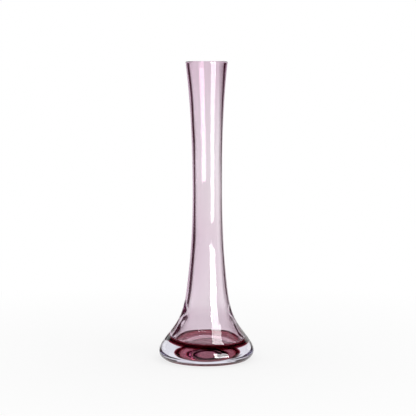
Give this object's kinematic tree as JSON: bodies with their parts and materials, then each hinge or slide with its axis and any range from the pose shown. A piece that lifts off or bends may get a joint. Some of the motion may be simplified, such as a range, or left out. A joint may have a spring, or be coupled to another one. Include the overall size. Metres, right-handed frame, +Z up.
{
  "type": "bud vase",
  "caption": "Slender blown glass bud vase: burgundy tinted neck and flare standing in a heavy clear glass foot.",
  "frame": {"origin": "centre of the flat resting ring under the foot, on the plane that the vase stands on", "axes": "+Z up along the axis of the vase, out through the mouth"},
  "size_m": [0.08, 0.08, 0.25],
  "materials": {
    "burgundy_glass": "polished",
    "clear_glass": "polished"
  },
  "bodies": {
    "root": {"tinted_bubble": "burgundy_glass", "clear_foot": "clear_glass"}
  },
  "joints": []
}
